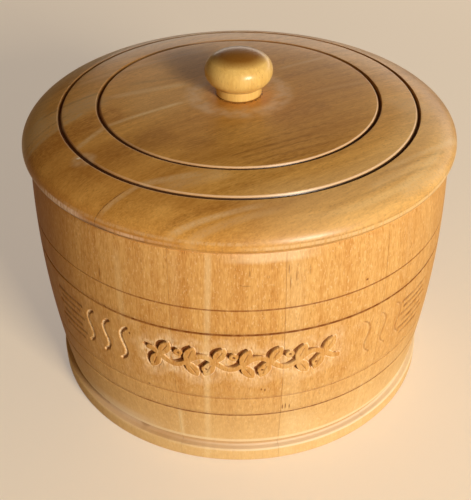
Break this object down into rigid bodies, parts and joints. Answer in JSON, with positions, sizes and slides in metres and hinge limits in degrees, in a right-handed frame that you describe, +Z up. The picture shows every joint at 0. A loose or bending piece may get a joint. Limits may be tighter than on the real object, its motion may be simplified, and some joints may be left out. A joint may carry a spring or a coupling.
{
  "type": "biscuit barrel",
  "caption": "Round stave-built wooden food canister with a gently swelling wall, small foot, carved decoration, and a loose turned lid with ring grooves and a round knob.",
  "frame": {"origin": "on the surface it stands on, under the middle of the barrel", "axes": "+Z up along the turning axis, the carved front faces -Y, +X to the right of someone facing the front"},
  "size_m": [0.2202, 0.2202, 0.1784],
  "materials": {
    "stave_wood": "satin varnish over upright grain",
    "lid_wood": "satin varnish over board grain",
    "knob_wood": "glossier varnish over end-turned grain",
    "base_wood": "thin satin varnish",
    "screw_steel": "plated, slightly dull"
  },
  "bodies": {
    "barrel": {"stave_01": "stave_wood", "stave_02": "stave_wood", "stave_03": "stave_wood", "stave_04": "stave_wood", "stave_05": "stave_wood", "stave_06": "stave_wood", "stave_07": "stave_wood", "stave_08": "stave_wood", "stave_09": "stave_wood", "stave_10": "stave_wood", "stave_11": "stave_wood", "stave_12": "stave_wood", "stave_13": "stave_wood", "base_board_1": "base_wood", "base_board_2": "base_wood", "base_board_3": "base_wood"},
    "lid": {"lid_board_1": "lid_wood", "lid_board_2": "lid_wood", "lid_board_3": "lid_wood", "lid_board_4": "lid_wood", "knob": "knob_wood", "knob_screw": "screw_steel"}
  },
  "joints": [
    {"name": "lid_lift", "type": "slide", "parent": "barrel", "child": "lid", "axis": [0, 0, 1], "range_m": [0, 0.1]}
  ]
}
